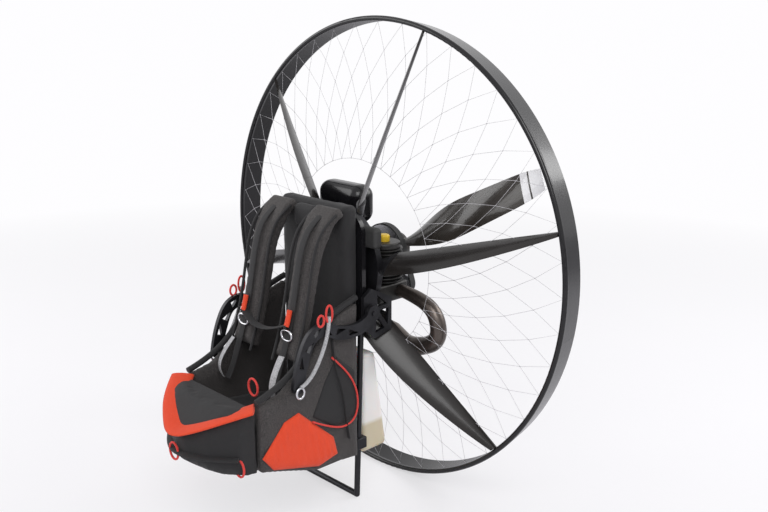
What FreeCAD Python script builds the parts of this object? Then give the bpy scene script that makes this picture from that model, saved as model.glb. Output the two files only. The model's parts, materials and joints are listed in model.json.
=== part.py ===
import FreeCAD, Part
import math
import os

# A back-carried powered-flight unit: ducted hoop with six leaf-shaped spokes, rear propeller,
# two-stroke engine, fuel tank, parking stand, swing arms and a seated harness.
# Millimetres. +X is the pilot's left, -Y is forward, +Z is up. The floor is z = 0.

Vector = FreeCAD.Vector
os.makedirs("parts", exist_ok=True)

# Hoop
HOOP_R = 710.0
HUB_Z = HOOP_R
BEAD_WALL = 15.3
BEAD_HALF = 7.65
BAND_WALL = 3.0
BAND_BACK = 75.0
BAND_DRAFT = 13.0
HOOP_JOINTS = {"hoop_upper_left": -10.0, "hoop_upper_right": 80.0,
               "hoop_lower_right": 170.0, "hoop_lower_left": 260.0}
HOOP_SPAN = 90.0
HOOP_JOINT_GAP = 0.3

# Spokes: leaf sections (radius, chord, thickness) along a straight trailing edge
SPOKE_ANGLES = {"spoke_left": 14.8, "spoke_top_left": 74.8, "spoke_top_right": 134.8,
                "spoke_lower_right": 194.8, "spoke_bottom": 254.8, "spoke_lower_left": 314.8}
SPOKE_ROOT_R = 200.0
SPOKE_ROOT_Y = -100.0
SPOKE_TIP_Y = 9.0
SPOKE_TIP_CLEAR = 0.5
SPOKE_TWIST = 35.0
SPOKE_PLATE_CLEAR = 0.5
SPOKE_LEAF = [(0.0, 92.0, 13.0), (0.22, 98.0, 12.0), (0.45, 88.0, 11.0), (0.68, 66.0, 10.0),
              (0.87, 42.0, 9.0), (1.0, 22.0, 8.0)]

# Chassis
RING_R = 175.0
RING_BORE_R = 118.0
RING_Y = (-165.0, -145.0)
SOCKET_CHORD = 100.0
SOCKET_DEPTH = 24.0
PLATE_X = (166.0, 178.0)
PLATE_Y = (-222.0, -112.0)
PLATE_Z = (515.0, 668.0)
BEAM_Z = (530.0, 574.0)
BEAM_Y = (-198.0, RING_Y[0])
BACK_PLATE_Y = (-212.0, BEAM_Y[0])
BACK_PLATE_HALF = 160.0
BACK_PLATE_Z = (BEAM_Z[0] + 2.0, 885.0)

# Swing arms
ARM_X = (184.0, 196.0)
ARM_PIVOT = (-200.0, 600.0)
ARM_PIN_R = 8.0
ARM_PIN_CLEAR = 0.05
ARM_EYE_R = 24.0
ARM_HANG_R = 5.0
ARM_WIDTH = 38.0
ARM_RIB = 6.0
ARM_LINE = [(-200.0, 600.0), (-250.0, 570.0), (-300.0, 568.0), (-345.0, 580.0), (-385.0, 596.0),
            (-425.0, 585.0), (-452.0, 545.0), (-468.0, 500.0), (-478.0, 455.0)]

# Stand
LEG_X = 129.0
LEG_R = 9.0
LEG_FOOT_Y = -210.0
LEG_TOP_Y = -190.0
CLAMP_Z = (160.0, 196.0)
CLAMP_HALF = 15.0

# Fuel tank
TANK_HALF = 110.0
TANK_FRONT_Y = -168.0
TANK_Z = (120.0, 440.0)
TANK_BACK_TOP = -112.0
TANK_BACK_LOW = -62.0
TANK_GROOVE_CLEAR = 5.0

# Engine
CASE_X = (15.0, 150.0)
CASE_Y = (-139.0, -15.0)
CASE_Z = (599.0, 655.0)
CYL_AT = (105.0, -72.0)
CYL_CORE_R = 36.0
FIN_R = 55.0
FIN_WALL = 2.4
FIN_COUNT = 10
FIN_PITCH = 10.5
HEAD_Z = CASE_Z[1] + FIN_COUNT * FIN_PITCH
CAP_R = 17.0
HEADER_R = 19.0
SILENCER_NECK_R = 29.0
SILENCER_R = 44.0
SILENCER_NECK = 60.0
SILENCER_BODY = 150.0
BRACKET_Y = (CASE_Y[1], -3.0)
HOUSING_R = 30.0
HOUSING_Y = (BRACKET_Y[1], 20.0)
SHAFT_CLEAR = 0.05

# Drive and propeller
BIG_PULLEY_R = 80.0
SMALL_PULLEY_R = 30.0
PULLEY_Y = (26.0, 50.0)
PROP_SHAFT_R = 10.0
CRANK_SHAFT_R = 8.0
CRANK_AT = (86.0, 622.0)
BELT_WALL = 4.0
BELT_CLEAR = 0.3
SHAFT_END_GAP = 0.5
PROP_ANGLE = 27.5
PROP_Y = 86.0
PROP_HUB_R = 46.0
PROP_HUB_Y = (73.0, 99.0)
FLANGE_R = 33.0
FLANGE_WALL = 7.0
BOLT_R = 4.0
BOLT_CIRCLE_R = 25.0
BOLT_HEAD = 6.0
PROP_SECTIONS = [(34.0, 52.0, 24.0, 60.0), (90.0, 62.0, 20.0, 46.0), (200.0, 112.0, 15.0, 30.0),
                 (330.0, 116.0, 12.0, 22.0), (470.0, 98.0, 9.0, 17.0), (570.0, 82.0, 7.0, 14.0),
                 (625.0, 60.0, 4.0, 12.0)]

# Harness
PAD_GAP = 0.3
BACK_HALF = 150.0
BACK_Y = (-258.0, BACK_PLATE_Y[0] - PAD_GAP)
BACK_Z = (240.0, 915.0)
SIDE_X = (150.0, 172.0)
STRAP_X = (50.0, 147.0)
STRAP_WALL = 30.0
WALL_FRONT_Y = -600.0
SEAT_NOSE_Y = -735.0

REAR_Y = PROP_HUB_Y[1] + FLANGE_WALL + BOLT_HEAD
SHIFT = Vector(0, -(SEAT_NOSE_Y + REAR_Y) / 2, 0)


def save(name, shape):
    """Writes one node in the part's own frame."""
    moved = shape.copy()
    moved.translate(SHIFT)
    moved.exportStep("parts/" + name + ".step")


def box(xs, ys, zs, radius=0.0):
    """A box between pairs of limits, with rounded edges."""
    solid = Part.makeBox(xs[1] - xs[0], ys[1] - ys[0], zs[1] - zs[0], Vector(xs[0], ys[0], zs[0]))
    return solid.makeFillet(radius, solid.Edges) if radius else solid


def drum(radius, ys, x=0.0, z=HUB_Z):
    """A cylinder along Y."""
    return Part.makeCylinder(radius, ys[1] - ys[0], Vector(x, ys[0], z), Vector(0, 1, 0))


def rod(start, end, radius):
    """A cylinder between two points."""
    run = end - start
    return Part.makeCylinder(radius, run.Length, start, run)


def outline(points, xs):
    """A plate between two x limits from (y, z) corners."""
    corners = [Vector(xs[0], y, z) for y, z in points]
    face = Part.Face(Part.makePolygon(corners + corners[:1]))
    return face.extrude(Vector(xs[1] - xs[0], 0, 0))


def smooth_outline(front, back, xs):
    """A plate whose two long sides are smooth curves through (y, z) points."""
    sides = []
    for run in (front, back):
        curve = Part.BSplineCurve()
        curve.interpolate([Vector(xs[0], y, z) for y, z in run])
        sides.append(curve)
    ends = [Part.makeLine(sides[0].EndPoint, sides[1].EndPoint),
            Part.makeLine(sides[1].StartPoint, sides[0].StartPoint)]
    wire = Part.Wire(Part.__sortEdges__([sides[0].toShape(), ends[0], sides[1].toShape(), ends[1]]))
    return Part.Face(wire).extrude(Vector(xs[1] - xs[0], 0, 0))


def offset_line(points, distance):
    """Moves a (y, z) line sideways by a distance."""
    moved = []
    for index, (y, z) in enumerate(points):
        before = points[max(index - 1, 0)]
        after = points[min(index + 1, len(points) - 1)]
        run = math.hypot(after[0] - before[0], after[1] - before[1])
        moved.append((y - distance * (after[1] - before[1]) / run,
                      z + distance * (after[0] - before[0]) / run))
    return moved


def leaf_wire(centre, along_chord, across, chord, thickness):
    """A lens-shaped section as two arcs."""
    front = centre - along_chord * (chord / 2)
    back = centre + along_chord * (chord / 2)
    upper = centre + across * (thickness / 2)
    lower = centre - across * (thickness / 2)
    return Part.Wire([Part.Arc(front, upper, back).toShape(), Part.Arc(back, lower, front).toShape()])


def radial(angle):
    """Unit vectors outwards and round the hoop at an angle."""
    turn = math.radians(angle)
    return Vector(math.cos(turn), 0, math.sin(turn)), Vector(-math.sin(turn), 0, math.cos(turn))


def spoke(angle, grow=0.0):
    """A leaf spoke with a straight trailing edge and a bowed leading edge."""
    out, tangent = radial(angle)
    twist = math.radians(SPOKE_TWIST)
    chord_way = Vector(0, math.cos(twist), 0) + tangent * math.sin(twist)
    across = tangent * math.cos(twist) - Vector(0, math.sin(twist), 0)
    tip_r = HOOP_R - BEAD_WALL - SPOKE_TIP_CLEAR
    wires = []
    for share, chord, thickness in SPOKE_LEAF:
        radius = SPOKE_ROOT_R + share * (tip_r - SPOKE_ROOT_R)
        back_y = SPOKE_ROOT_Y + share * (SPOKE_TIP_Y - SPOKE_ROOT_Y)
        back = Vector(0, back_y, HUB_Z) + out * radius
        centre = back - chord_way * (chord / 2)
        wires.append(leaf_wire(centre, chord_way, across, chord + 2 * grow, thickness + 2 * grow))
    return Part.makeLoft(wires, True, False)


def hoop_segment(start):
    """A quarter of the hoop: a rounded bead in front and a thin tapered band behind."""
    inner = HOOP_R - BEAD_WALL
    band_in = HOOP_R - BAND_WALL - 3.0
    back_out = HOOP_R - BAND_DRAFT
    line = [Part.Arc(Vector(inner, 0, 0), Vector(HOOP_R - BEAD_WALL / 2, -BEAD_HALF, 0),
                     Vector(HOOP_R, 0, 0)).toShape()]
    corners = [Vector(HOOP_R, 0, 0), Vector(HOOP_R - 1.5, BEAD_HALF, 0), Vector(back_out, BAND_BACK, 0),
               Vector(back_out - BAND_WALL, BAND_BACK, 0), Vector(band_in, BEAD_HALF + 6, 0),
               Vector(inner + 2, BEAD_HALF, 0), Vector(inner, 0, 0)]
    line += [Part.makeLine(a, b) for a, b in zip(corners, corners[1:])]
    face = Part.Face(Part.Wire(line))
    gap = math.degrees(HOOP_JOINT_GAP / HOOP_R)
    solid = face.revolve(Vector(0, 0, 0), Vector(0, 1, 0), HOOP_SPAN - gap)
    solid.rotate(Vector(0, 0, 0), Vector(0, 1, 0), -(start + HOOP_SPAN))
    solid.translate(Vector(0, 0, HUB_Z))
    return solid


def hub_ring():
    """The ring that carries the spokes, with a socket block for each."""
    ring = drum(RING_R, RING_Y).cut(drum(RING_BORE_R, RING_Y))
    twist = math.radians(SPOKE_TWIST)
    for angle in SPOKE_ANGLES.values():
        out, tangent = radial(angle)
        chord_way = Vector(0, math.cos(twist), 0) + tangent * math.sin(twist)
        across = tangent * math.cos(twist) - Vector(0, math.sin(twist), 0)
        centre = Vector(0, SPOKE_ROOT_Y, HUB_Z) - chord_way * (SPOKE_LEAF[0][1] / 2)
        wires = [leaf_wire(centre + out * radius, chord_way, across, chord, SOCKET_DEPTH)
                 for radius, chord in ((RING_R - 20, 40.0), (SPOKE_ROOT_R, SOCKET_CHORD))]
        ring = ring.fuse(Part.makeLoft(wires, True, False))
    return ring


def side_plate(side):
    """A drilled side plate with the swing arm's pin."""
    plate = outline([(PLATE_Y[0], PLATE_Z[0] + 40), (PLATE_Y[0], PLATE_Z[1] - 20),
                     (PLATE_Y[0] + 30, PLATE_Z[1]), (PLATE_Y[1], PLATE_Z[1] - 40),
                     (PLATE_Y[1], PLATE_Z[0] + 15), (PLATE_Y[0] + 40, PLATE_Z[0])], PLATE_X)
    y, z = ARM_PIVOT
    windows = [[(y + 30, z + 45), (y + 70, z + 12), (y + 32, z + 8)],
               [(y + 36, z - 4), (y + 76, z - 2), (y + 72, z - 52)],
               [(y + 26, z - 14), (y + 60, z - 60), (y + 24, z - 68)]]
    for corners in windows:
        plate = plate.cut(outline(corners, PLATE_X))
    for node in ("spoke_lower_left", "spoke_left"):
        plate = plate.cut(spoke(SPOKE_ANGLES[node], SPOKE_PLATE_CLEAR))
    pin = rod(Vector(PLATE_X[1], y, z), Vector(ARM_X[1] + 4, y, z), ARM_PIN_R)
    collar = rod(Vector(PLATE_X[1], y, z), Vector(ARM_X[0] - PAD_GAP, y, z), ARM_EYE_R - 8)
    plate = plate.fuse(pin).fuse(collar)
    return plate if side > 0 else plate.mirror(Vector(0, 0, 0), Vector(1, 0, 0))


def swing_arm(side):
    """A goose-neck arm with triangular windows, a pivot eye and a hang hole at its tip."""
    half = ARM_WIDTH / 2
    arm = smooth_outline(offset_line(ARM_LINE, half), offset_line(ARM_LINE, -half), ARM_X)
    for index in range(1, len(ARM_LINE) - 2):
        pair = ARM_LINE[index:index + 2]
        near = offset_line(pair, half - ARM_RIB)
        far = offset_line(pair, ARM_RIB - half)
        corners = [near[0], near[1], far[1]] if index % 2 else [near[1], far[1], far[0]]
        middle = [sum(c[k] for c in corners) / 3 for k in (0, 1)]
        shrunk = [tuple(middle[k] + 0.72 * (c[k] - middle[k]) for k in (0, 1)) for c in corners]
        arm = arm.cut(outline(shrunk, ARM_X))
    y, z = ARM_PIVOT
    eye = rod(Vector(ARM_X[0], y, z), Vector(ARM_X[1], y, z), ARM_EYE_R)
    bore = rod(Vector(ARM_X[0], y, z), Vector(ARM_X[1], y, z), ARM_PIN_R + ARM_PIN_CLEAR)
    ty, tz = ARM_LINE[-1]
    tip = rod(Vector(ARM_X[0], ty, tz), Vector(ARM_X[1], ty, tz), half)
    hang = rod(Vector(ARM_X[0], ty, tz), Vector(ARM_X[1], ty, tz), ARM_HANG_R)
    arm = arm.fuse(eye).fuse(tip).cut(bore).cut(hang)
    return arm if side > 0 else arm.mirror(Vector(0, 0, 0), Vector(1, 0, 0))


def rounded_tube(points, bends, radii):
    """A smooth tube that grows from one radius to another, with its far end and heading."""
    spine = Part.BSplineCurve()
    spine.interpolate(points)
    wires = []
    for index in range(bends + 1):
        share = index / bends
        at = spine.FirstParameter + share * (spine.LastParameter - spine.FirstParameter)
        radius = radii[0] + share * (radii[1] - radii[0])
        wires.append(Part.Wire(Part.makeCircle(radius, spine.value(at), Vector(*spine.tangent(at)[0]))))
    return Part.makeLoft(wires, True, False), spine.EndPoint, Vector(*spine.tangent(spine.LastParameter)[0])


def loop_face(first, first_r, second, second_r, y):
    """The outline of a belt round two circles, in the plane y."""
    dx, dz = second[0] - first[0], second[1] - first[1]
    reach = math.hypot(dx, dz)
    heading = math.atan2(dz, dx)
    lean = math.acos((first_r - second_r) / reach)

    def on(centre, radius, turn):
        return Vector(centre[0] + radius * math.cos(turn), y, centre[1] + radius * math.sin(turn))

    top, low = heading + lean, heading - lean
    far = Part.Arc(on(first, first_r, top), on(first, first_r, heading + math.pi), on(first, first_r, low))
    near = Part.Arc(on(second, second_r, low), on(second, second_r, heading), on(second, second_r, top))
    runs = [far.toShape(), Part.makeLine(on(first, first_r, low), on(second, second_r, low)),
            near.toShape(), Part.makeLine(on(second, second_r, top), on(first, first_r, top))]
    return Part.Face(Part.Wire(runs))


def propeller():
    """Two twisted blades on a hub disc."""
    solid = drum(PROP_HUB_R, PROP_HUB_Y)
    for half_turn in (0.0, 180.0):
        out, tangent = radial(PROP_ANGLE + half_turn)
        wires = []
        for radius, chord, thickness, pitch in PROP_SECTIONS:
            turn = math.radians(pitch)
            chord_way = tangent * math.cos(turn) + Vector(0, math.sin(turn), 0)
            across = Vector(0, math.cos(turn), 0) - tangent * math.sin(turn)
            wires.append(leaf_wire(Vector(0, PROP_Y, HUB_Z) + out * radius, chord_way, across,
                                   min(chord, (PROP_HUB_Y[1] - PROP_HUB_Y[0]) / math.sin(turn) * 0.98)
                                   if radius < PROP_HUB_R else chord, thickness))
        solid = solid.fuse(Part.makeLoft(wires, True, False))
    return solid


for node, angle in HOOP_JOINTS.items():
    save(node, hoop_segment(angle))
for node, angle in SPOKE_ANGLES.items():
    save(node, spoke(angle))
save("hub_ring", hub_ring())

beam = box((-PLATE_X[0], PLATE_X[0]), BEAM_Y, BEAM_Z).cut(hub_ring()).cut(
    spoke(SPOKE_ANGLES["spoke_lower_left"], SPOKE_PLATE_CLEAR))
save("cross_beam", max(beam.Solids, key=lambda piece: piece.Volume))
shell = box((-BACK_PLATE_HALF, BACK_PLATE_HALF), BACK_PLATE_Y, BACK_PLATE_Z)
corners = [edge for edge in shell.Edges if abs(edge.tangentAt(edge.FirstParameter).y) > 0.9]
save("back_plate", shell.makeFillet(60.0, corners))
for side, word in ((1, "left"), (-1, "right")):
    save("side_plate_" + word, side_plate(side))
    save("swing_arm_" + word, swing_arm(side))

# Parking stand: a U of tube whose legs reach the cross beam, with a clamp on each leg
leg_feet = [Vector(side * LEG_X, LEG_FOOT_Y, LEG_R) for side in (-1, 1)]
leg_tops = [Vector(side * LEG_X, LEG_TOP_Y, BEAM_Z[0]) for side in (-1, 1)]
stand = rod(leg_feet[0], leg_feet[1], LEG_R)
for foot, top in zip(leg_feet, leg_tops):
    stand = stand.fuse(Part.makeSphere(LEG_R, foot)).fuse(rod(foot, top + (top - foot) * 0.02, LEG_R))
below = box((-2 * LEG_X, 2 * LEG_X), (LEG_FOOT_Y - 50, 0.0), (0.0, BEAM_Z[0]))
stand = stand.common(below)
save("stand_frame", stand)
for side, word in ((1, "left"), (-1, "right")):
    xs = (side * LEG_X - CLAMP_HALF, side * LEG_X + CLAMP_HALF)
    block = box(xs, (-218.0, -180.0), CLAMP_Z, 4.0)
    foot, top = leg_feet[(side + 1) // 2], leg_tops[(side + 1) // 2]
    block = block.cut(rod(foot, top, LEG_R + SHAFT_CLEAR))
    save("stand_clamp_" + word, max(block.Solids, key=lambda piece: piece.Volume))

# Fuel tank: a moulded wedge, grooved for the spoke that passes behind it
tank = outline([(TANK_FRONT_Y, TANK_Z[0]), (TANK_BACK_LOW, TANK_Z[0]), (TANK_BACK_TOP, TANK_Z[1]),
                (TANK_FRONT_Y, TANK_Z[1])], (-TANK_HALF, TANK_HALF))
tank = tank.makeFillet(16.0, tank.Edges).cut(spoke(SPOKE_ANGLES["spoke_bottom"], TANK_GROOVE_CLEAR))
tank = max(tank.Solids, key=lambda piece: piece.Volume)
save("fuel_tank", tank)
tray_z = (TANK_Z[0] + 40, TANK_Z[0] + 62)
tray = box((-LEG_X + CLAMP_HALF, LEG_X - CLAMP_HALF), (-200.0, TANK_FRONT_Y), tray_z, 3.0)
save("tank_bracket", tray)

# Engine and reduction drive
save("crankcase", box(CASE_X, CASE_Y, CASE_Z, 8.0))
engine_plate = drum(RING_BORE_R + 12, (RING_Y[1], CASE_Y[0])).cut(drum(60.0, (RING_Y[1], CASE_Y[0])))
save("engine_plate", engine_plate)
cylinder = Part.makeCylinder(CYL_CORE_R, HEAD_Z - CASE_Z[1], Vector(CYL_AT[0], CYL_AT[1], CASE_Z[1]))
for index in range(FIN_COUNT):
    z = CASE_Z[1] + (index + 0.5) * FIN_PITCH
    cylinder = cylinder.fuse(Part.makeCylinder(FIN_R, FIN_WALL, Vector(CYL_AT[0], CYL_AT[1], z)))
save("finned_cylinder", cylinder)
head = Part.makeCylinder(FIN_R - 6, 16.0, Vector(CYL_AT[0], CYL_AT[1], HEAD_Z))
save("cylinder_head", head.makeFillet(6.0, [head.Edges[0]]))
cap = Part.makeCylinder(CAP_R, 20.0, Vector(CYL_AT[0], CYL_AT[1], HEAD_Z + 16))
save("spark_plug_cap", cap.makeFillet(7.0, [cap.Edges[0]]))
plate = loop_face((0.0, HUB_Z), 42.0, CRANK_AT, 36.0, BRACKET_Y[0]).extrude(
    Vector(0, BRACKET_Y[1] - BRACKET_Y[0], 0))
housing = drum(HOUSING_R, HOUSING_Y)
bores = drum(PROP_SHAFT_R + SHAFT_CLEAR, (BRACKET_Y[0], HOUSING_Y[1])).fuse(
    drum(CRANK_SHAFT_R + SHAFT_CLEAR, BRACKET_Y, *CRANK_AT))
save("reduction_bracket", plate.fuse(housing).cut(bores))
belt_ys = (PULLEY_Y[0] + 2, PULLEY_Y[1] - 2)
loops = [loop_face((0.0, HUB_Z), BIG_PULLEY_R + extra, CRANK_AT, SMALL_PULLEY_R + extra, belt_ys[0])
         for extra in (BELT_CLEAR, BELT_CLEAR + BELT_WALL)]
solids = [face.extrude(Vector(0, belt_ys[1] - belt_ys[0], 0)) for face in loops]
save("drive_belt", solids[1].cut(solids[0]))
save("crank_pulley", drum(SMALL_PULLEY_R, PULLEY_Y, *CRANK_AT).fuse(
    drum(CRANK_SHAFT_R, (BRACKET_Y[0] + SHAFT_END_GAP, PULLEY_Y[0]), *CRANK_AT)))
save("prop_pulley", drum(BIG_PULLEY_R, PULLEY_Y).fuse(drum(PROP_SHAFT_R, (BRACKET_Y[0] + SHAFT_END_GAP, PULLEY_Y[0]))).fuse(
    drum(HOUSING_R, (PULLEY_Y[1], PROP_HUB_Y[0]))))
save("propeller", propeller())
flange = drum(FLANGE_R, (PROP_HUB_Y[1], PROP_HUB_Y[1] + FLANGE_WALL))
for index in range(6):
    out, tangent = radial(index * 60.0)
    spot = out * BOLT_CIRCLE_R
    flange = flange.fuse(drum(BOLT_R, (PROP_HUB_Y[1] + FLANGE_WALL, REAR_Y), spot.x, HUB_Z + spot.z))
save("prop_flange", flange)

# Exhaust, intake and starter
header = [Vector(CASE_X[1], -48, 628), Vector(225, -48, 618), Vector(290, -48, 585),
          Vector(302, -46, 522), Vector(250, -42, 478), Vector(165, -39, 462)]
case = box(CASE_X, CASE_Y, CASE_Z, 8.0)
bend, bend_end, bend_way = rounded_tube(header, 14, (HEADER_R, SILENCER_NECK_R))
save("exhaust_bend", max(bend.cut(case).Solids, key=lambda piece: piece.Volume))
bend_end = bend_end + bend_way * PAD_GAP
chamber = Part.makeCone(SILENCER_NECK_R, SILENCER_R, SILENCER_NECK, bend_end, bend_way).fuse(
    Part.makeCylinder(SILENCER_R, SILENCER_BODY, bend_end + bend_way * SILENCER_NECK, bend_way))
save("exhaust_silencer", chamber)
save("airbox", box((-182.0, 12.0), (-92.0, -8.0), (806.0, 925.0), 36.0))
save("intake_duct", rod(Vector(-40, -50, 806), Vector(20, -72, 640), 20.0).cut(
    box((CASE_X[0], 300.0), CASE_Y, CASE_Z)).cut(cylinder).cut(
    box((-182.0, 12.0), (-92.0, -8.0), (806.0, 925.0), 36.0)))
save("starter_cover", drum(58.0, (-198.0, RING_Y[0] - 4), 0.0, 790.0).fuse(
    drum(20.0, (RING_Y[0] - 4, RING_Y[0]), 0.0, 840.0)))
save("control_box", box((120.0, 200.0), (BACK_PLATE_Y[1], -168.0), (786.0, 846.0), 12.0))

# Harness
back = box((-BACK_HALF, BACK_HALF), BACK_Y, BACK_Z, 14.0)
save("harness_back", back)
strap_line = [(BACK_Y[0] - PAD_GAP, 885.0), (-296.0, 862.0), (-330.0, 808.0), (-354.0, 730.0), (-374.0, 640.0),
              (-396.0, 560.0), (-422.0, 490.0)]
strap = smooth_outline(strap_line, offset_line(strap_line, -STRAP_WALL), STRAP_X)
save("shoulder_strap_left", strap)
save("shoulder_strap_right", strap.mirror(Vector(0, 0, 0), Vector(1, 0, 0)))
save("neck_pad", box((-46.0, 46.0), (-292.0, BACK_Y[0] - PAD_GAP), (835.0, 900.0), 12.0))
side_line = [(-236.0, 160.0), (-236.0, 640.0), (-300.0, 622.0), (-375.0, 585.0), (-432.0, 505.0),
             (-520.0, 445.0), (WALL_FRONT_Y, 425.0), (WALL_FRONT_Y, 230.0), (-520.0, 205.0),
             (-400.0, 165.0)]
wall = outline(side_line, SIDE_X)
save("harness_side_left", wall)
save("harness_side_right", wall.mirror(Vector(0, 0, 0), Vector(1, 0, 0)))
seat_xs = (-SIDE_X[0] + PAD_GAP, SIDE_X[0] - PAD_GAP)
seat = outline([(BACK_Y[0] - PAD_GAP, 178.0), (BACK_Y[0] - PAD_GAP, 300.0), (-500.0, 330.0),
                (WALL_FRONT_Y, 350.0), (WALL_FRONT_Y, 235.0), (-500.0, 205.0)], seat_xs)
save("seat_pad", seat)
plan = [(SIDE_X[1], WALL_FRONT_Y - PAD_GAP), (0.94 * SIDE_X[1], -640.0), (0.5 * SIDE_X[1], -702.0),
        (0.0, SEAT_NOSE_Y)]
rim = [Vector(x, y, 0) for x, y in plan] + [Vector(-x, y, 0) for x, y in reversed(plan[:-1])]
block = Part.Face(Part.makePolygon(rim + rim[:1])).extrude(Vector(0, 0, 500.0))
profile = outline([(WALL_FRONT_Y, 230.0), (WALL_FRONT_Y, 428.0), (-660.0, 412.0), (SEAT_NOSE_Y, 345.0),
                   (SEAT_NOSE_Y, 268.0), (-680.0, 240.0)], (-SIDE_X[1], SIDE_X[1]))
save("seat_front", block.common(profile))
print("front", SEAT_NOSE_Y, "rear", REAR_Y, "shift", SHIFT.y)
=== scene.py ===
"""Looks of the back-carried powered-flight unit: finishes, net, padded harness, straps and small fittings."""

import json
import logging
import math
from dataclasses import dataclass, field
from enum import Enum

import bmesh
import bpy
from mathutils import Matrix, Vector


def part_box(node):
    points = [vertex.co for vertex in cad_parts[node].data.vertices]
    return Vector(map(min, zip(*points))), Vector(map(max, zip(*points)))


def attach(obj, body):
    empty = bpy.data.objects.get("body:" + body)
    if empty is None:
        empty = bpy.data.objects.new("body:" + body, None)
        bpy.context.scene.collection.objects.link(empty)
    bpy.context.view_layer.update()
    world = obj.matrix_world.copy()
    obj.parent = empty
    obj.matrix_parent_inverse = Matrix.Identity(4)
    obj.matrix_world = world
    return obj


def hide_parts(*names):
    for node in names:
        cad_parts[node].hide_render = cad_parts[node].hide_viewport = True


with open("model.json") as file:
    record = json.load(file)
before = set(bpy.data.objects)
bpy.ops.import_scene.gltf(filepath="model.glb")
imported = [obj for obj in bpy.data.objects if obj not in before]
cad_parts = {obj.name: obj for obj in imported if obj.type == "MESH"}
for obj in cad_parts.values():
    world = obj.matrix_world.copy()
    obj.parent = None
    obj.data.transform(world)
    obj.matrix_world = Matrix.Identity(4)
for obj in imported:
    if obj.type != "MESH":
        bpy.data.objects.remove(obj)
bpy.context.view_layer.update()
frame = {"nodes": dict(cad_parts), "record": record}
LOG = logging.getLogger("powered_flight_unit")

# Driving dimensions, in metres: the hoop's front plane, the hub's height and the marks on the blade tips.
BEAD_HALF = 0.00765
FRONT_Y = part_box("hoop_upper_left")[0].y + BEAD_HALF
HUB_Z = 0.71
TIP_WHITE_R = 0.548
TIP_LINE_R = 0.574
TIP_LINE_WIDTH = 0.006

# How finely round things are drawn, and how near two points are one.
BAND_SIDES = 12
RING_POINTS = 8
WELD = 1e-5

# The pale surround, the blade tips' paint, and the colour output of a Mix node.
SURROUND_WHITE = (0.99, 0.985, 1.0, 1)
TIP_WHITE = (0.86, 0.86, 0.88)
COLOR_RESULT = 2


def at(x: float, y: float, z: float) -> Vector:
    """Turns a place measured from the hoop's front plane into the shared frame."""
    return Vector((x, y + FRONT_Y, z))


class Side(Enum):
    """The pilot's two sides, with the sign of X."""

    LEFT = 1
    RIGHT = -1


class Num:
    """A socket that can be used in plain arithmetic."""

    def __init__(self, tree: bpy.types.NodeTree, socket: bpy.types.NodeSocket) -> None:
        """Keeps the tree and the output socket."""
        self.tree = tree
        self.socket = socket

    def _math(self, operation: str, *values: object) -> "Num":
        """Adds a Math node.

        Args:
            operation: what it works out.
            values: numbers or other values, in the order of its inputs.

        Returns:
            The result.
        """
        node = self.tree.nodes.new("ShaderNodeMath")
        node.operation = operation
        for index, value in enumerate(values):
            if isinstance(value, Num):
                self.tree.links.new(value.socket, node.inputs[index])
            else:
                node.inputs[index].default_value = float(value)
        return Num(self.tree, node.outputs[0])

    def __add__(self, other: object) -> "Num":
        """Sum."""
        return self._math("ADD", self, other)

    def __sub__(self, other: object) -> "Num":
        """Difference."""
        return self._math("SUBTRACT", self, other)

    def __rsub__(self, other: object) -> "Num":
        """Reflected difference."""
        return self._math("SUBTRACT", other, self)

    def __mul__(self, other: object) -> "Num":
        """Product."""
        return self._math("MULTIPLY", self, other)

    __radd__ = __add__
    __rmul__ = __mul__

    def above(self, limit: object) -> "Num":
        """One where the value is over the limit, else zero."""
        return self._math("GREATER_THAN", self, limit)

    def wave(self) -> "Num":
        """Sine of the value."""
        return self._math("SINE", self)

    def clamp(self) -> "Num":
        """Keeps the value between 0 and 1."""
        return self._math("MINIMUM", self._math("MAXIMUM", self, 0), 1)


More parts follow.
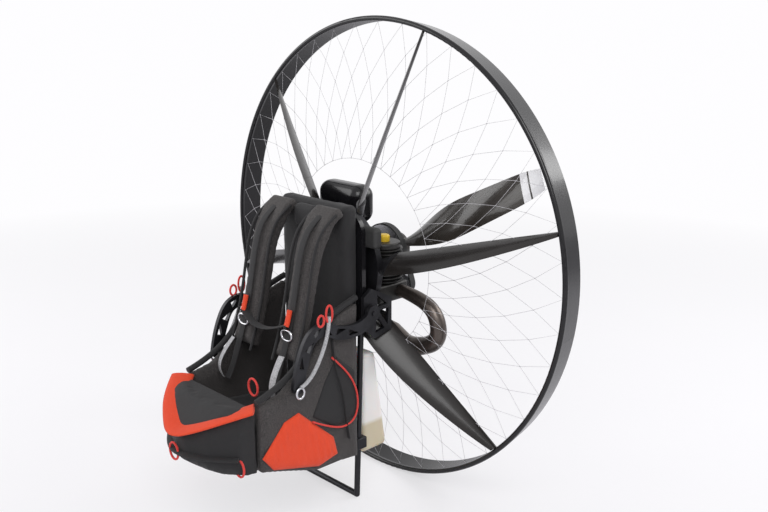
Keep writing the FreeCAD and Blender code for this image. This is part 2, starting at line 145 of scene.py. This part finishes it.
class Shader:
    """Builds one material around a Principled shader."""

    def __init__(self, name: str, color: tuple, rough: float, metal: float = 0.0) -> None:
        """Makes the material with its plain values.

        Args:
            name: the finish's name.
            color: plain colour, red, green and blue.
            rough: plain roughness.
            metal: 1 for bare metal, else less.
        """
        self.material = bpy.data.materials.new(name)
        self.material.use_nodes = True
        self.tree = self.material.node_tree
        self.shader = self.tree.nodes["Principled BSDF"]
        self.shader.inputs["Base Color"].default_value = (*color, 1)
        self.shader.inputs["Roughness"].default_value = rough
        self.shader.inputs["Metallic"].default_value = metal
        self.place = self.node("ShaderNodeTexCoord").outputs["Object"]
        split = self.node("ShaderNodeSeparateXYZ", Vector=self.place)
        self.x, self.y, self.z = (Num(self.tree, out) for out in split.outputs)

    def node(self, kind: str, settings: dict | None = None, **values: object) -> bpy.types.Node:
        """Adds a node.

        Args:
            kind: the node's type name.
            settings: attributes set first.
            values: socket values or links, by identifier, or by name with _ for a space.

        Returns:
            The node.
        """
        made = self.tree.nodes.new(kind)
        for key, value in (settings or {}).items():
            setattr(made, key, value)
        known = {socket.identifier: socket for socket in made.inputs}
        for key, value in values.items():
            socket = known[key] if key in known else made.inputs[key.replace("_", " ")]
            if isinstance(value, Num):
                self.tree.links.new(value.socket, socket)
            elif isinstance(value, bpy.types.NodeSocket):
                self.tree.links.new(value, socket)
            else:
                socket.default_value = value
        return made

    def noise(self, scale: float, detail: float = 3.0) -> Num:
        """Noise over the object's own coordinates."""
        cloud = self.node("ShaderNodeTexNoise", None, Vector=self.place, Scale=scale, Detail=detail)
        return Num(self.tree, cloud.outputs["Fac"])

    def blend(self, mask: Num, low: object, high: object) -> bpy.types.NodeSocket:
        """Mixes two colours.

        Args:
            mask: 0 for the low colour, 1 for the high one.
            low: a colour as a tuple, or a colour's socket.
            high: a colour as a tuple, or a colour's socket.

        Returns:
            The mixed colour's socket.
        """
        first, second = ((*color, 1) if isinstance(color, tuple) else color for color in (low, high))
        mix = self.node("ShaderNodeMix", {"data_type": "RGBA"}, Factor_Float=mask, A_Color=first,
                        B_Color=second)
        return mix.outputs[COLOR_RESULT]

    def color(self, socket: bpy.types.NodeSocket) -> None:
        """Links the base colour."""
        self.tree.links.new(socket, self.shader.inputs["Base Color"])

    def rough(self, value: Num) -> None:
        """Links the roughness."""
        self.tree.links.new(value.socket, self.shader.inputs["Roughness"])

    def bump(self, height: Num, strength: float, distance: float) -> None:
        """Adds surface relief from a height value."""
        made = self.node("ShaderNodeBump", None, Strength=strength, Distance=distance, Height=height)
        self.tree.links.new(made.outputs["Normal"], self.shader.inputs["Normal"])


@dataclass(frozen=True)
class Carbon:
    """Lacquered carbon cloth with a fine twill."""

    name: str
    dark: tuple
    light: tuple
    coat: float = 0.12
    pitch: float = 1400.0
    tip_marks: bool = False
    cloud: float = 9.0
    rough_low: float = 0.16
    rough_span: float = 0.12
    coat_rough: float = 0.06
    specular: float = 0.3
    relief: float = 0.05
    depth: float = 0.0002

    def build(self) -> bpy.types.Material:
        """Makes the material.

        Returns:
            The material.
        """
        s = Shader(self.name, self.dark, self.rough_low)
        twill = ((s.x + s.y + s.z) * self.pitch).wave() * 0.5 + 0.5
        cross = ((s.x - s.z + s.y) * self.pitch).wave() * 0.5 + 0.5
        cloud = s.noise(self.cloud)
        cloth = s.blend((twill * cross * 0.5 + cloud * 0.5).clamp(), self.dark, self.light)
        if self.tip_marks:
            cloth = self._tip(s, cloth)
        s.color(cloth)
        s.rough(cloud * self.rough_span + self.rough_low)
        s.shader.inputs["Coat Weight"].default_value = self.coat
        s.shader.inputs["Coat Roughness"].default_value = self.coat_rough
        s.shader.inputs["Specular IOR Level"].default_value = self.specular
        s.bump(twill + cross, self.relief, self.depth)
        return s.material

    @staticmethod
    def _tip(s: Shader, cloth: bpy.types.NodeSocket) -> bpy.types.NodeSocket:
        """Paints the blade tips white with a thin dark line across.

        Args:
            s: the blades' shader.
            cloth: the colour under the paint.

        Returns:
            The painted colour's socket.
        """
        high = s.z - HUB_Z
        reach = s.x * s.x + high * high
        white = reach.above(TIP_WHITE_R ** 2)
        line = reach.above(TIP_LINE_R ** 2) - reach.above((TIP_LINE_R + TIP_LINE_WIDTH) ** 2)
        return s.blend((white - line).clamp(), cloth, TIP_WHITE)


@dataclass(frozen=True)
class Weave:
    """Woven cloth: fine threads, coarse heather and soft creases."""

    name: str
    dark: tuple
    light: tuple
    heather: float = 0.4
    threads: float = 2600.0
    crease: float = 0.5
    fleck: float = 420.0
    folds: float = 14.0
    rough_low: float = 0.7
    rough_span: float = 0.2
    sheen: float = 0.05
    relief: float = 0.55
    depth: float = 0.012

    def build(self) -> bpy.types.Material:
        """Makes the material.

        Returns:
            The material.
        """
        s = Shader(self.name, self.dark, self.rough_low)
        warp = (s.z * self.threads).wave()
        weft = ((s.x + s.y) * self.threads).wave()
        fleck = s.noise(self.fleck, 2.0)
        mask = ((fleck - 0.5) * 3.0 * self.heather + 0.4 + warp * weft * 0.12).clamp()
        s.color(s.blend(mask, self.dark, self.light))
        s.rough(fleck * self.rough_span + self.rough_low)
        s.shader.inputs["Sheen Weight"].default_value = self.sheen
        folds = s.noise(self.folds, 4.0)
        s.bump(folds * self.crease + warp * weft * 0.02 + fleck * 0.05, self.relief, self.depth)
        return s.material


@dataclass(frozen=True)
class Solid:
    """Metal, plastic or rubber with a grain, a cloud of wear and a roughness that varies."""

    name: str
    dark: tuple
    light: tuple
    rough: float
    metal: float = 0.0
    grain: float = 220.0
    relief: float = 0.15
    cloud_share: float = 0.08
    rough_span: float = 0.2
    depth: float = 0.0006

    def build(self) -> bpy.types.Material:
        """Makes the material.

        Returns:
            The material.
        """
        s = Shader(self.name, self.dark, self.rough, self.metal)
        cloud = s.noise(self.grain * self.cloud_share)
        grit = s.noise(self.grain)
        s.color(s.blend((cloud * 1.6 - 0.3).clamp(), self.dark, self.light))
        s.rough((grit * self.rough_span + (self.rough - self.rough_span / 2)).clamp())
        s.bump(grit, self.relief, self.depth)
        return s.material


@dataclass(frozen=True)
class Translucent:
    """Pale moulded plastic that shows the fuel behind it, below the fuel's level."""

    name: str
    plain: tuple
    dry: tuple
    wet: tuple
    level_z: float = 0.215
    level_blur: float = 60.0
    rough_low: float = 0.3
    rough_span: float = 0.15
    glow: float = 0.2

    def build(self) -> bpy.types.Material:
        """Makes the material.

        Returns:
            The material.
        """
        s = Shader(self.name, self.plain, self.rough_low)
        level = ((self.level_z - s.z) * self.level_blur + 0.5).clamp()
        s.color(s.blend((level + s.noise(6.0) * 0.15).clamp(), self.dry, self.wet))
        s.rough(s.noise(60.0) * self.rough_span + self.rough_low)
        s.shader.inputs["Subsurface Weight"].default_value = self.glow
        return s.material


def finishes() -> dict[str, bpy.types.Material]:
    """Makes every finish.

    Returns:
        The materials, by their slot's name.
    """
    makers = [
        Carbon("carbon_black", (0.004, 0.004, 0.005), (0.012, 0.0115, 0.013)),
        Carbon("spoke_carbon", (0.008, 0.007, 0.007), (0.030, 0.026, 0.024), 0.08),
        Carbon("propeller_carbon", (0.012, 0.011, 0.010), (0.06, 0.050, 0.042), 0.4, 900.0, True),
        Solid("black_anodised", (0.012, 0.012, 0.014), (0.035, 0.035, 0.04), 0.38, 0.6),
        Solid("cap_yellow", (0.62, 0.38, 0.01), (0.8, 0.55, 0.03), 0.4),
        Solid("rubber_black", (0.012, 0.012, 0.012), (0.03, 0.03, 0.03), 0.7),
        Solid("exhaust_steel", (0.05, 0.042, 0.038), (0.15, 0.125, 0.11), 0.34, 0.75, 90.0),
        Solid("engine_black", (0.012, 0.012, 0.012), (0.05, 0.048, 0.045), 0.42, 0.5),
        Solid("machined_aluminium", (0.35, 0.35, 0.37), (0.55, 0.55, 0.57), 0.3, 1.0),
        Solid("buckle_silver", (0.5, 0.5, 0.52), (0.75, 0.75, 0.78), 0.25, 1.0),
        Weave("fabric_black", (0.004, 0.004, 0.005), (0.018, 0.017, 0.018), 0.3),
        Weave("fabric_heather", (0.010, 0.009, 0.009), (0.085, 0.076, 0.074), 0.9),
        Weave("fabric_red", (0.62, 0.035, 0.008), (0.86, 0.085, 0.02), 0.3, 2600.0, 0.8),
        Weave("cord_red", (0.55, 0.02, 0.02), (0.8, 0.08, 0.06), 0.3),
        Weave("webbing_grey", (0.25, 0.25, 0.26), (0.6, 0.6, 0.62), 0.9, 1500.0, 0.1),
        Weave("net_cord", (0.45, 0.44, 0.46), (0.62, 0.61, 0.64), 0.2),
        Translucent("tank_white", (0.86, 0.84, 0.80), (0.88, 0.87, 0.86), (0.62, 0.55, 0.40)),
    ]
    return {maker.name: maker.build() for maker in makers}


def mesh_object(name: str, mesh: bpy.types.Mesh, material: bpy.types.Material) -> bpy.types.Object:
    """Links a mesh as an object with one material and smooth faces.

    Args:
        name: the piece's name.
        mesh: its faces, with their place in them.
        material: its finish.

    Returns:
        The object.
    """
    piece = bpy.data.objects.new(name, mesh)
    bpy.context.scene.collection.objects.link(piece)
    mesh.materials.clear()
    mesh.materials.append(material)
    mesh.shade_smooth()
    return piece


def tube(name: str, points: list[Vector], radius: float, material: bpy.types.Material,
         flat: float = 1.0, closed: bool = False) -> bpy.types.Object:
    """Makes a smooth tube or a flat band through points.

    Args:
        name: the piece's name.
        points: the line it follows.
        radius: half its width.
        material: its finish.
        flat: thickness as a share of the width.
        closed: joins the ends.

    Returns:
        The mesh object.
    """
    curve = bpy.data.curves.new(name, "CURVE")
    curve.dimensions = "3D"
    spline = curve.splines.new("NURBS")
    spline.points.add(len(points) - 1)
    for spot, place in zip(spline.points, points):
        spot.co = (*place, 1)
    spline.order_u = 3
    spline.use_endpoint_u = not closed
    spline.use_cyclic_u = closed
    curve.resolution_u = 8
    curve.use_fill_caps = True
    if flat < 1.0:
        section = bpy.data.curves.new(name + "_section", "CURVE")
        section.dimensions = "2D"
        rim = section.splines.new("POLY")
        rim.points.add(BAND_SIDES - 1)
        for index, spot in enumerate(rim.points):
            turn = 2 * math.pi * index / BAND_SIDES
            spot.co = (radius * math.cos(turn), radius * flat * math.sin(turn), 0, 1)
        rim.use_cyclic_u = True
        shape = bpy.data.objects.new(name + "_section", section)
        curve.bevel_mode = "OBJECT"
        curve.bevel_object = shape
    else:
        curve.bevel_depth = radius
        curve.bevel_resolution = 3
    holder = bpy.data.objects.new(name, curve)
    bpy.context.scene.collection.objects.link(holder)
    bpy.context.view_layer.update()
    mesh = bpy.data.meshes.new_from_object(holder.evaluated_get(bpy.context.evaluated_depsgraph_get()))
    bpy.data.objects.remove(holder)
    if flat < 1.0:
        bpy.data.objects.remove(shape)
    return mesh_object(name, mesh, material)


def ring(middle: tuple[float, float, float], across: float, along: float, rise: float) -> list[Vector]:
    """Works out the points of an upright oval.

    Args:
        middle: its middle, measured from the hoop's front plane.
        across: its reach along X.
        along: its reach along Y.
        rise: half its height.

    Returns:
        The points in order, for a closed tube.
    """
    x, y, z = middle
    turns = [2 * math.pi * index / RING_POINTS for index in range(RING_POINTS)]
    return [at(x + across * math.cos(t), y + along * math.cos(t), z + rise * math.sin(t)) for t in turns]


@dataclass
class Pad:
    """A padded piece grown from the space its plain solid holds."""

    node: str
    name: str
    slot: str = "fabric_black"
    voxel: float = 0.006
    cap: float = 0.007
    pressure: float = 4.0
    fill: float = 0.6
    smoothing: int = 4
    frames: int = 20

    def build(self, material: bpy.types.Material) -> bpy.types.Object:
        """Remeshes, inflates and finishes the pad.

        Args:
            material: the cloth.

        Returns:
            The piece, riding on the root body.
        """
        mesh = bpy.data.meshes.new(self.name)
        shape = bmesh.new()
        shape.from_mesh(frame["nodes"][self.node].data)
        bmesh.ops.remove_doubles(shape, verts=shape.verts, dist=WELD)
        shape.to_mesh(mesh)
        shape.free()
        piece = mesh_object(self.name, mesh, material)
        remesh = piece.modifiers.new("remesh", "REMESH")
        remesh.mode = "VOXEL"
        remesh.voxel_size = self.voxel
        smooth = piece.modifiers.new("smooth", "SMOOTH")
        smooth.iterations = self.smoothing
        self._apply(piece)
        start = [v.co.copy() for v in piece.data.vertices]
        cloth = piece.modifiers.new("cloth", "CLOTH")
        cloth.settings.use_pressure = True
        cloth.settings.uniform_pressure_force = self.pressure
        cloth.settings.effector_weights.gravity = 0
        for number in range(1, self.frames + 1):
            bpy.context.scene.frame_set(number)
        self._apply(piece)
        bpy.context.scene.frame_set(1)
        for vertex, before in zip(piece.data.vertices, start):
            move = vertex.co - before
            if move.length > self.cap:
                vertex.co = before + move.normalized() * self.cap
        piece.data.materials.clear()
        piece.data.materials.append(material)
        piece.data.shade_smooth()
        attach(piece, "root")
        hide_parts(self.node)
        LOG.info("pad %s: %d points", self.name, len(start))
        return piece

    @staticmethod
    def _apply(piece: bpy.types.Object) -> None:
        """Applies every modifier.

        Args:
            piece: the object whose mesh is baked.
        """
        graph = bpy.context.evaluated_depsgraph_get()
        mesh = bpy.data.meshes.new_from_object(piece.evaluated_get(graph))
        piece.modifiers.clear()
        piece.data = mesh


@dataclass
class Net:
    """The hoop's net: slanted cords from rim to inner ring, drawn by one node tree."""

    rim_r: float = 0.693
    rim_y: float = 0.006
    ring_r: float = 0.300
    ring_y: float = -0.085
    count: int = 44
    cord_r: float = 0.00055
    knot_r: float = 0.0016
    rows: int = 5
    cord_sides: int = 5

    def points(self) -> tuple[list[Vector], list[tuple[int, int]]]:
        """Works out where the cords cross.

        Returns:
            The crossing points, and the pairs of them that a cord joins.
        """
        spots, cords = [], []
        for row in range(self.rows + 1):
            share = row / self.rows
            radius = self.rim_r + share * (self.ring_r - self.rim_r)
            depth = self.rim_y + share * (self.ring_y - self.rim_y)
            for index in range(self.count):
                turn = 2 * math.pi * (index + 0.5 * (row % 2)) / self.count
                spots.append(at(radius * math.cos(turn), depth, HUB_Z + radius * math.sin(turn)))
        for row in range(self.rows):
            for index in range(self.count):
                here = row * self.count + index
                below = (row + 1) * self.count
                other = index + 1 if row % 2 else index - 1
                cords += [(here, below + index), (here, below + other % self.count)]
        last = self.rows * self.count
        cords += [(last + i, last + (i + 1) % self.count) for i in range(self.count)]
        return spots, cords

    def build(self, material: bpy.types.Material) -> bpy.types.Object:
        """Makes the net's cords and knots from a Geometry Nodes tree.

        Args:
            material: the cord's finish.

        Returns:
            The net, riding on the frame.
        """
        spots, cords = self.points()
        mesh = bpy.data.meshes.new("hoop_net")
        mesh.from_pydata(spots, cords, [])
        holder = bpy.data.objects.new("hoop_net_line", mesh)
        bpy.context.scene.collection.objects.link(holder)
        tree = bpy.data.node_groups.new("net_tree", "GeometryNodeTree")
        face = tree.interface
        face.new_socket("Geometry", in_out="INPUT", socket_type="NodeSocketGeometry")
        for label in ("Cord radius", "Knot radius"):
            face.new_socket(label, in_out="INPUT", socket_type="NodeSocketFloat")
        face.new_socket("Geometry", in_out="OUTPUT", socket_type="NodeSocketGeometry")
        new, link = tree.nodes.new, tree.links.new
        source, result = new("NodeGroupInput"), new("NodeGroupOutput")
        line, sweep = new("GeometryNodeMeshToCurve"), new("GeometryNodeCurveToMesh")
        section = new("GeometryNodeCurvePrimitiveCircle")
        section.inputs["Resolution"].default_value = self.cord_sides
        knot, copies = new("GeometryNodeMeshIcoSphere"), new("GeometryNodeInstanceOnPoints")
        merge, real = new("GeometryNodeJoinGeometry"), new("GeometryNodeRealizeInstances")
        paint = new("GeometryNodeSetMaterial")
        paint.inputs["Material"].default_value = material
        link(source.outputs["Geometry"], line.inputs[0])
        link(source.outputs["Cord radius"], section.inputs["Radius"])
        link(source.outputs["Knot radius"], knot.inputs["Radius"])
        link(line.outputs[0], sweep.inputs["Curve"])
        link(section.outputs[0], sweep.inputs["Profile Curve"])
        link(source.outputs["Geometry"], copies.inputs["Points"])
        link(knot.outputs[0], copies.inputs["Instance"])
        link(sweep.outputs[0], merge.inputs[0])
        link(copies.outputs[0], merge.inputs[0])
        link(merge.outputs[0], real.inputs[0])
        link(real.outputs[0], paint.inputs["Geometry"])
        link(paint.outputs[0], result.inputs[0])
        modifier = holder.modifiers.new("net", "NODES")
        modifier.node_group = tree
        sizes = {item.name: item.identifier for item in face.items_tree if item.in_out == "INPUT"}
        modifier[sizes["Cord radius"]] = self.cord_r
        modifier[sizes["Knot radius"]] = self.knot_r
        bpy.context.view_layer.update()
        graph = bpy.context.evaluated_depsgraph_get()
        made = bpy.data.meshes.new_from_object(holder.evaluated_get(graph))
        bpy.data.objects.remove(holder)
        piece = mesh_object("hoop_net", made, material)
        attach(piece, "root")
        return piece


@dataclass
class Harness:
    """The seated harness: pads, side walls, straps, panels, piping, webbing and buckles.

    A name that ends in _x is a distance from the middle plane, and one that ends in _r is half a width.
    """

    paint: dict[str, bpy.types.Material]
    panel_x: float = 0.1800
    panel_wall: float = 0.002
    panel_cuts: int = 4
    panel_edge: float = 0.025
    pleat_edge: float = 0.02
    piping_out: float = 1.03
    piping_r: float = 0.0028
    zip_out: float = 1.02
    zip_r: float = 0.006
    rim_x: float = 0.161
    rim_r: float = 0.009
    front_panel_r: float = 0.034
    pocket_r: float = 0.024
    strap_x: float = 0.100
    binding_x: tuple[float, float] = (0.051, 0.146)
    webbing_r: float = 0.0125
    binding_r: float = 0.0045
    tail_r: float = 0.0105
    toggle_r: float = 0.0095
    wire_r: float = 0.0034
    loop_r: float = 0.0032
    rope_x: float = 0.2005
    rope_r: float = 0.0055
    panels: list[str] = field(default_factory=list)

    def pads(self) -> None:
        """Builds the padded pieces in place of their plain solids."""
        heather, black = self.paint["fabric_heather"], self.paint["fabric_black"]
        for node, cloth in (("harness_back", black), ("shoulder_strap_left", heather),
                            ("shoulder_strap_right", heather), ("neck_pad", black), ("seat_pad", black),
                            ("harness_side_left", heather), ("harness_side_right", heather)):
            Pad(node, node + "_pad").build(cloth)
        Pad("seat_front", "seat_front_pad", cap=0.006).build(black)

    def patch(self, name: str, outline: list[tuple[float, float]], x: float, material: str,
              puff: float = 0.006, pleats: float = 0.0) -> bpy.types.Object:
        """Makes a cushioned cloth panel on a side wall.

        Args:
            name: the piece's name.
            outline: corners as (y, z) from the hoop's front plane.
            x: where its inner face lies.
            material: the finish.
            puff: how far its middle stands out.
            pleats: depth of the gathered folds.

        Returns:
            The piece.
        """
        out = 1 if x > 0 else -1
        shape = bmesh.new()
        rim = [shape.verts.new(at(x, y, z)) for y, z in outline]
        shape.faces.new(rim)
        bmesh.ops.triangulate(shape, faces=shape.faces)
        for _ in range(self.panel_cuts):
            bmesh.ops.subdivide_edges(shape, edges=shape.edges, cuts=1, use_grid_fill=True)
        edge = [v.co.copy() for v in shape.verts if v.is_boundary]
        for vertex in shape.verts:
            if not vertex.is_boundary:
                near = min((vertex.co - spot).length for spot in edge)
                rise = puff * min(1.0, near / self.panel_edge) ** 0.5
                wave = math.sin(vertex.co.y * 260 + vertex.co.z * 40)
                fold = pleats * wave * min(1.0, near / self.pleat_edge)
                vertex.co.x += out * (rise + fold)
        mesh = bpy.data.meshes.new(name)
        bmesh.ops.recalc_face_normals(shape, faces=shape.faces)
        shape.to_mesh(mesh)
        shape.free()
        piece = mesh_object(name, mesh, self.paint[material])
        wall = piece.modifiers.new("wall", "SOLIDIFY")
        wall.thickness = self.panel_wall
        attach(piece, "root")
        self.panels.append(name)
        return piece

    def sides(self) -> None:
        """Dresses both side walls with red panels, a black panel, piping and a zip."""
        for side in Side:
            word = side.name.lower()
            x = side.value * self.panel_x
            self.patch(f"side_red_panel_{word}", [(-0.596, 0.280), (-0.520, 0.362), (-0.470, 0.375),
                       (-0.345, 0.262), (-0.330, 0.205), (-0.400, 0.190), (-0.560, 0.235)], x,
                       "fabric_red", 0.008, 0.0012)
            self.patch(f"side_black_panel_{word}", [(-0.250, 0.300), (-0.262, 0.440), (-0.330, 0.500),
                       (-0.372, 0.440), (-0.420, 0.345), (-0.340, 0.290)], x, "fabric_black", 0.003)
            line = [at(x * self.piping_out, y, z) for y, z in ((-0.352, 0.505), (-0.300, 0.455),
                    (-0.262, 0.395), (-0.252, 0.330), (-0.275, 0.285), (-0.340, 0.285), (-0.425, 0.335))]
            piping = tube(f"side_piping_{word}", line, self.piping_r, self.paint["cord_red"])
            zip_line = [at(x * self.zip_out, y, z) for y, z in ((-0.350, 0.570), (-0.345, 0.480),
                        (-0.315, 0.400), (-0.300, 0.300), (-0.290, 0.240))]
            zipper = tube(f"side_zip_{word}", zip_line, self.zip_r, self.paint["fabric_black"], 0.3)
            rim = tube(f"side_rim_{word}", [at(side.value * self.rim_x, y, z) for y, z in (
                (-0.238, 0.650), (-0.302, 0.632), (-0.377, 0.596), (-0.434, 0.516), (-0.522, 0.456),
                (-0.598, 0.436))], self.rim_r, self.paint["fabric_black"])
            for piece in (piping, zipper, rim):
                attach(piece, "root")

    def front(self) -> None:
        """Adds the red front panel, its pocket and the pull loops."""
        black, red = self.paint["fabric_black"], self.paint["fabric_red"]
        panel = tube("front_red_panel", [at(0.168, -0.610, 0.425), at(0.120, -0.668, 0.402),
                     at(0.050, -0.715, 0.368), at(0.0, -0.738, 0.350), at(-0.050, -0.715, 0.368),
                     at(-0.120, -0.668, 0.402), at(-0.168, -0.610, 0.425)], self.front_panel_r, red, 0.2)
        pocket = tube("front_pocket", [at(0.150, -0.648, 0.290), at(0.080, -0.705, 0.288),
                      at(0.0, -0.735, 0.286), at(-0.080, -0.705, 0.288), at(-0.150, -0.648, 0.290)],
                      self.pocket_r, black, 0.25)
        loops = [tube(f"pull_loop_{index}", ring(middle, 0.022, 0.0, 0.026), self.loop_r,
                      self.paint["cord_red"], closed=True)
                 for index, middle in enumerate(((-0.020, -0.742, 0.285), (0.150, -0.650, 0.262),
                                                 (0.100, -0.560, 0.452)))]
        for piece in [panel, pocket, *loops]:
            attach(piece, "root")

    def straps(self) -> None:
        """Adds webbing, buckles, toggles and the chest strap on the shoulder straps."""
        grey, black, silver = (self.paint[k] for k in ("webbing_grey", "fabric_black", "buckle_silver"))
        for side in Side:
            s, word = side.value, side.name.lower()
            face = [(-0.300, 0.893), (-0.345, 0.868), (-0.378, 0.812), (-0.396, 0.735), (-0.414, 0.640),
                    (-0.436, 0.560), (-0.462, 0.490), (-0.480, 0.440), (-0.500, 0.405)]
            band = tube(f"strap_webbing_{word}", [at(s * self.strap_x, y - 0.004, z) for y, z in face],
                        self.webbing_r, black, 0.12)
            edges = [tube(f"strap_binding_{word}_{k}", [at(s * x, y + 0.006, z) for y, z in face[:7]],
                          self.binding_r, black) for k, x in enumerate(self.binding_x)]
            tail = tube(f"strap_tail_{word}", [at(s * 0.112, -0.470, 0.520), at(s * 0.120, -0.505, 0.480),
                        at(s * 0.125, -0.520, 0.430), at(s * 0.120, -0.505, 0.405)], self.tail_r,
                        grey, 0.14)
            buckle = tube(f"strap_buckle_{word}", [at(s * x, -0.437 - 0.004, z) for x, z in (
                (0.078, 0.585), (0.122, 0.585), (0.122, 0.555), (0.078, 0.555))], self.wire_r, silver,
                closed=True)
            toggle = tube(f"strap_toggle_{word}", [at(s * self.strap_x, y, z) for y, z in (
                (-0.428, 0.640), (-0.436, 0.606), (-0.442, 0.596))], self.toggle_r,
                self.paint["fabric_red"], 0.6)
            for piece in (band, *edges, tail, buckle, toggle):
                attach(piece, "root")
        chest = tube("chest_strap", [at(0.100, -0.438, 0.600), at(0.050, -0.452, 0.580),
                     at(0.0, -0.456, 0.574), at(-0.050, -0.452, 0.580), at(-0.100, -0.438, 0.600)],
                     self.webbing_r, black, 0.14)
        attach(chest, "root")

    def hang_gear(self) -> None:
        """Adds the rope, red loops and shackles that each swing arm carries."""
        for side in Side:
            s, word = side.value, side.name.lower()
            x = s * self.rope_x
            rope = tube(f"hang_rope_{word}", [at(x, y, z) for y, z in (
                (-0.372, 0.632), (-0.376, 0.592), (-0.395, 0.540), (-0.425, 0.490), (-0.455, 0.462),
                (-0.476, 0.456))], self.rope_r, self.paint["webbing_grey"])
            loops = [tube(f"arm_loop_{word}_{k}", ring((x + 0.004 * k, y, z), 0.0, 0.012, rise),
                          self.loop_r, self.paint["cord_red"], closed=True)
                     for k, (y, z, rise) in enumerate(((-0.372, 0.640, 0.026), (-0.405, 0.628, 0.017)))]
            shackle = tube(f"arm_shackle_{word}", ring((x, -0.478, 0.440), 0.0, 0.014, 0.016), self.wire_r,
                           self.paint["buckle_silver"], closed=True)
            for piece in (rope, *loops, shackle):
                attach(piece, f"arm_{word}")

    def build(self) -> None:
        """Builds the whole harness."""
        self.pads()
        self.sides()
        self.front()
        self.straps()
        self.hang_gear()
        LOG.info("harness: %d cloth panels", len(self.panels))


@dataclass
class Studio:
    """Pale floor, soft lamps, white surround and the camera."""

    azimuth: float = 46.21
    elevation: float = 14.65
    distance: float = 2.930
    lens: float = 44.28
    aim_right: float = 0.0074
    aim_up: float = -0.0048
    sensor: float = 36.0
    floor_half: float = 25.0
    floor_z: float = -0.0008
    floor_glow: float = 0.58
    glow_rise: float = 0.05
    glow_start: float = 0.06
    world_light: float = 0.5
    lamp_aim_z: float = 0.7
    lamps: tuple = (("key", (2.6, -2.2, 3.4), 90, 2.4), ("fill", (-3.0, -1.8, 2.2), 55, 2.6),
                    ("rim", (1.8, 3.0, 2.6), 60, 2.0))

    def camera(self) -> None:
        """Places the camera."""
        turn, lift = math.radians(self.azimuth), math.radians(self.elevation)
        back = Vector((math.sin(turn) * math.cos(lift), -math.cos(turn) * math.cos(lift), math.sin(lift)))
        right = Vector((math.cos(turn), math.sin(turn), 0))
        up = back.cross(right)
        forward = (right * self.aim_right + up * self.aim_up - back).normalized()
        lens = bpy.data.cameras.new("view")
        lens.lens = self.lens
        lens.sensor_width = self.sensor
        holder = bpy.data.objects.new("view", lens)
        holder.location = at(0, 0, HUB_Z) + back * self.distance
        holder.rotation_euler = forward.to_track_quat("-Z", "Y").to_euler()
        bpy.context.scene.collection.objects.link(holder)
        bpy.context.scene.camera = holder

    def lamp(self, name: str, spot: tuple, power: float, size: float) -> None:
        """Adds a soft square lamp aimed at the machine.

        Args:
            name: the lamp's name.
            spot: where it stands.
            power: its power in watts.
            size: the length of its side.
        """
        light = bpy.data.lights.new(name, "AREA")
        light.energy = power
        light.size = size
        holder = bpy.data.objects.new(name, light)
        holder.location = spot
        aim = Vector((0, 0, self.lamp_aim_z)) - Vector(spot)
        holder.rotation_euler = aim.to_track_quat("-Z", "Y").to_euler()
        bpy.context.scene.collection.objects.link(holder)

    def surround(self) -> None:
        """Makes the floor and the white world."""
        floor_mesh = bpy.data.meshes.new("floor")
        corners = [(x * self.floor_half, y * self.floor_half, self.floor_z)
                   for x, y in ((-1, -1), (1, -1), (1, 1), (-1, 1))]
        floor_mesh.from_pydata(corners, [], [(0, 1, 2, 3)])
        s = Shader("floor_pale", (0.86, 0.85, 0.88), 0.6)
        s.color(s.blend(s.noise(2.0), (0.84, 0.83, 0.87), (0.88, 0.87, 0.90)))
        ray = s.node("ShaderNodeLightPath")
        glow = s.node("ShaderNodeEmission", None, Color=SURROUND_WHITE, Strength=1.0)
        far = ((s.x * s.x + s.y * s.y) * self.glow_rise - self.glow_start).clamp()
        share = far * (1 - self.floor_glow) + self.floor_glow
        seen = Num(s.tree, ray.outputs["Is Camera Ray"]) * share
        mix = s.node("ShaderNodeMixShader", None, Fac=seen)
        s.tree.links.new(s.shader.outputs[0], mix.inputs[1])
        s.tree.links.new(glow.outputs[0], mix.inputs[2])
        s.tree.links.new(mix.outputs[0], s.tree.nodes["Material Output"].inputs["Surface"])
        mesh_object("floor", floor_mesh, s.material)
        world = bpy.data.worlds.new("surround")
        world.use_nodes = True
        bpy.context.scene.world = world
        tree = world.node_tree
        back = tree.nodes["Background"]
        back.inputs["Color"].default_value = SURROUND_WHITE
        path = tree.nodes.new("ShaderNodeLightPath")
        seen = (Num(tree, path.outputs["Is Camera Ray"]) + Num(tree, path.outputs["Is Glossy Ray"])
                + Num(tree, path.outputs["Is Transmission Ray"])).clamp()
        strength = seen * (1 - self.world_light) + self.world_light
        tree.links.new(strength.socket, back.inputs["Strength"])

    def build(self) -> None:
        """Builds the set."""
        self.camera()
        self.surround()
        for name, spot, power, size in self.lamps:
            self.lamp(name, spot, power, size)
        bpy.context.scene.view_settings.view_transform = "Standard"


def dress_nodes(paint: dict[str, bpy.types.Material]) -> None:
    """Gives every solid node the finish of its slot, and the spokes a finish of their own.

    Args:
        paint: the materials, by name.
    """
    for part in frame["record"]["subparts"]:
        node = frame["nodes"][part["node"]]
        slot = "spoke_carbon" if part["node"].startswith("spoke_") else part["material_slot"]
        node.data.materials.clear()
        node.data.materials.append(paint[slot])


def main() -> None:
    """Builds the classes in order."""
    logging.basicConfig(level=logging.INFO)
    paint = finishes()
    Studio().build()
    dress_nodes(paint)
    Net().build(paint["net_cord"])
    Harness(paint).build()


if __name__ == "__main__":
    main()
